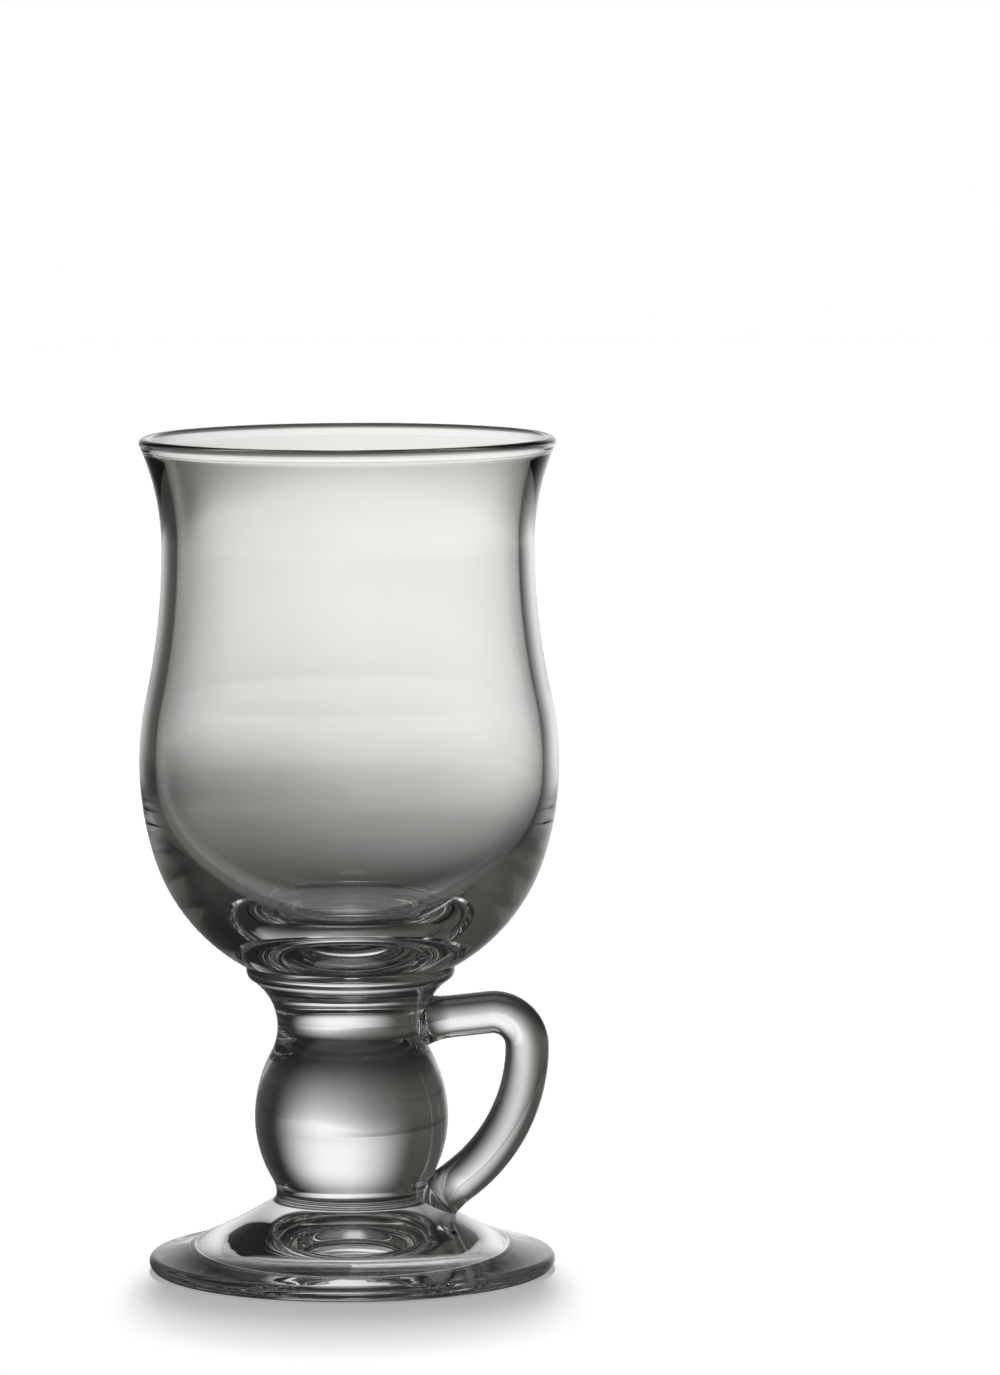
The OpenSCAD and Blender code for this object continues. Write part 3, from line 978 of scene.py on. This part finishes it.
def polished_table(board, light):
    """The table as the glass shows it: a painted shadow under the mug, a painted pool of light behind it,
    paler far off, a painted shadow band on its left, and glossy like a dark mirror, with painted light in its
    gloss right of the mug.
    """
    turn, _, away = studio_turns(board)
    pale = 1 - board.fade(away, *TABLE_DARK)
    # Painted pool of light on the far table behind the mug, paler far off
    behind = board.fade(abs(turn - light.table_turn), light.window_half, light.window_fade_side) * pale
    ring = 1 - board.fade(abs(turn), *TABLE_BEHIND)
    ring_tone = board.blend(board.fade(away, *RING_DARK), light.far_tone, light.ring_tone)
    lit = board.highest(behind * light.table_tone, ring * ring_tone)
    # Painted shadow round the mug: the table's light fades out towards the axis, leaving the contact tone
    open_share = 1 - board.fade(away, *SHADE)
    tone = light.contact_shadow_tone + open_share * (lit + flag_tone(board, light, turn))
    own = board.glow(tone, light.shade_tint)
    gloss = board.add("ShaderNodeBsdfGlossy", None, {"Color": WHITE, "Roughness": light.table_polish})
    steepness = 1 - board.add("ShaderNodeLayerWeight", None, {"Blend": 0.5}, "Facing")
    # Painted light and shade: the gloss is raised right of the mug and lowered on its left
    right = RIGHT_GAIN - board.fade(turn, *TABLE_LEFT)
    gain = 1 + board.fade(away, *SIDE_LIGHT) * right * light.side_light_gain
    mirrored = board.math("MINIMUM", gain * light.table_gloss / steepness, 1.0)
    table = board.add("ShaderNodeMixShader", None, {"Fac": mirrored, 1: own, 2: gloss})
    # Painted shadow: a soft dark band across the table left of the window, which mixes the table towards black
    band = (board.fade(turn, *BAND_LEFT) * board.fade(away, *BAND_DARK) * (1 - board.fade(away, *BAND_FREE))
            * light.shadow_band_share)
    return board.add("ShaderNodeMixShader", None, {"Fac": band, 1: table})


def floor_material(light):
    """White to the eye, with the mug's soft shadow; the glass shows it as a darker, polished table with
    painted light and shade.
    """
    material, board = new_material("white_floor")
    seen = board.add("ShaderNodeAddShader", None, {
        0: board.add("ShaderNodeEmission", None, {"Color": WHITE, "Strength": light.floor_lift}),
        1: board.add("ShaderNodeBsdfDiffuse", None, {"Color": WHITE})})
    camera_ray = board.add("ShaderNodeLightPath", output="Is Camera Ray")
    board.surface(board.add("ShaderNodeMixShader", None, {
        "Fac": camera_ray, 1: polished_table(board, light), 2: seen}))
    return material


def white_world(light):
    """White for the eye and for glass alike, and a dimmer sky for the floor."""
    world = bpy.data.worlds.new("white_studio")
    world.use_nodes = True
    board = NodeBoard(world.node_tree)
    path = board.add("ShaderNodeLightPath", output="Is Camera Ray")
    shown = path + path.other("Is Glossy Ray") + path.other("Is Transmission Ray")
    white = board.math("MINIMUM", shown, 1.0)
    background = board.add("ShaderNodeBackground", None, {
        "Color": board.blend(white, light.sky_share, 1.0)})
    board.add("ShaderNodeOutputWorld", None, {"Surface": background})
    return world


def stage_piece(name, mesh, material):
    mesh.materials.append(material)
    piece = bpy.data.objects.new(name, mesh)
    bpy.context.scene.collection.objects.link(piece)
    return piece


def disc_mesh(name, radius, height):
    build = bmesh.new()
    bmesh.ops.create_circle(build, cap_ends=True, segments=FLOOR_SIDES, radius=radius,
                            matrix=Matrix.Translation((0, 0, height)))
    mesh = bpy.data.meshes.new(name)
    build.to_mesh(mesh)
    build.free()
    return mesh


def dome_mesh(name, radius):
    build = bmesh.new()
    bmesh.ops.create_uvsphere(build, u_segments=DOME_SIDES, v_segments=DOME_SIDES // 2, radius=radius)
    mesh = bpy.data.meshes.new(name)
    build.to_mesh(mesh)
    build.free()
    return mesh


class GLASSMUG_OT_stage(bpy.types.Operator):
    """Set the camera, the white floor, the flags and the key light"""
    bl_idname = "glass_mug.stage"
    bl_label = "Stage"

    def execute(self, context):
        scene = context.scene
        light = scene.glass_mug.studio
        camera = bpy.data.objects.new("camera", bpy.data.cameras.new("camera"))
        scene.collection.objects.link(camera)
        camera.data.lens = LENS
        camera.data.sensor_width = FILM_W
        fall = Matrix.Rotation(math.radians(90 - CAMERA_FALL), 4, "X")
        roll = Matrix.Rotation(math.radians(CAMERA_ROLL), 4, "Z")
        camera.matrix_world = Matrix.Translation(CAMERA_PLACE) @ fall @ roll
        scene.camera = camera
        scene.view_settings.view_transform = "Standard"
        scene.world = white_world(light)
        stage_piece("studio_floor", disc_mesh("studio_floor", STUDIO_R, FLOOR_Z), floor_material(light))
        flags = stage_piece("studio_flags", dome_mesh("studio_flags", STUDIO_R), flags_material(light))
        flags.visible_camera = False
        flags.visible_diffuse = False
        flags.visible_shadow = False
        for number in range(KEY_COUNT):
            name = f"soft_key_{number}"
            rise = light.key_rise + (number / (KEY_COUNT - 1) - 0.5) * light.key_length
            key = bpy.data.objects.new(name, bpy.data.lights.new(name, "SUN"))
            scene.collection.objects.link(key)
            key.data.energy = light.key_share / KEY_COUNT * math.pi / math.sin(rise)
            key.data.angle = light.key_angle
            key.rotation_euler = (math.pi / 2 - rise, 0, math.pi)
            key.visible_glossy = False
            key.visible_transmission = False
        scene.cycles.max_bounces = GLASS_BOUNCES
        scene.cycles.transmission_bounces = GLASS_BOUNCES
        scene.cycles.glossy_bounces = GLASS_BOUNCES
        scene.cycles.transparent_max_bounces = GLASS_BOUNCES
        return {"FINISHED"}


class GLASSMUG_PT_panel(bpy.types.Panel):
    """Buttons that make the mug's pieces and its stage, and the settings behind them"""
    bl_idname = "GLASSMUG_PT_panel"
    bl_label = "Glass Mug"
    bl_space_type = "VIEW_3D"
    bl_region_type = "UI"
    bl_category = "Glass Mug"

    def draw(self, context):
        for operator in OPERATORS:
            self.layout.operator(operator.bl_idname)
        for part in MugSettings.__annotations__:
            settings = getattr(context.scene.glass_mug, part)
            box = self.layout.box()
            box.label(text=part.capitalize())
            for name in type(settings).__annotations__:
                box.prop(settings, name)


OPERATORS = (GLASSMUG_OT_bowl, GLASSMUG_OT_collar, GLASSMUG_OT_stem, GLASSMUG_OT_foot, GLASSMUG_OT_handle,
             GLASSMUG_OT_stage)
CLASSES = (BowlSizes, CollarSizes, StemSizes, FootSizes, HandleSizes, GlassFinish, StudioLight, MugSettings,
           *OPERATORS, GLASSMUG_PT_panel)


def register():
    for item in CLASSES:
        bpy.utils.register_class(item)
    bpy.types.Scene.glass_mug = PointerProperty(type=MugSettings)


def unregister():
    del bpy.types.Scene.glass_mug
    for item in reversed(CLASSES):
        bpy.utils.unregister_class(item)


def main():
    register()
    for operator in OPERATORS:
        package, name = operator.bl_idname.split(".")
        getattr(getattr(bpy.ops, package), name)()


if __name__ == "__main__":
    main()
